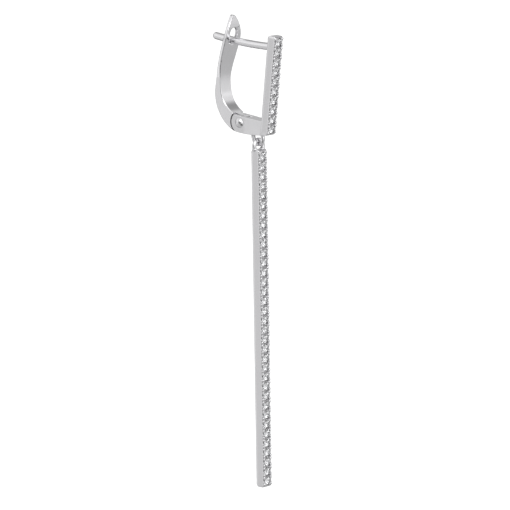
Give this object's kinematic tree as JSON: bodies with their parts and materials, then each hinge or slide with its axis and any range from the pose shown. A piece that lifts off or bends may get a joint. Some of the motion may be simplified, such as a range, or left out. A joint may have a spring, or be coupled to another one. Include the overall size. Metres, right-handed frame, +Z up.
{
  "type": "bar earring",
  "caption": "Leverback bar earring: a short stone-set front bar with a bowed ear post and a hinged curved lever, and a long slim bar set with round stones that hangs from a loop below.",
  "frame": {"origin": "on the middle line of the ear post, in the middle of the room for the lobe", "axes": "+Z up as the earring hangs, +Y back towards the lever and the free end of the post, +X to the wearer's other side; the stones face -Y"},
  "size_m": [0.0028, 0.0109, 0.0588],
  "materials": {
    "silver": "polished",
    "stone": "cut and polished"
  },
  "bodies": {
    "clip": {"clip_frame": "silver", "hinge_pin": "silver", "clip_stones": "stone"},
    "lever": {"lever": "silver"},
    "drop": {"drop_bar": "silver", "drop_stones": "stone"}
  },
  "joints": [
    {"name": "lever_hinge", "type": "hinge", "parent": "clip", "child": "lever", "pos_m": [0, 0.00057, -0.00974], "axis": [-1, 0, 0], "range_deg": [0, 50]},
    {"name": "drop_swing", "type": "hinge", "parent": "clip", "child": "drop", "pos_m": [0, -0.00171, -0.01176], "axis": [1, 0, 0], "range_deg": [-45, 45]}
  ]
}
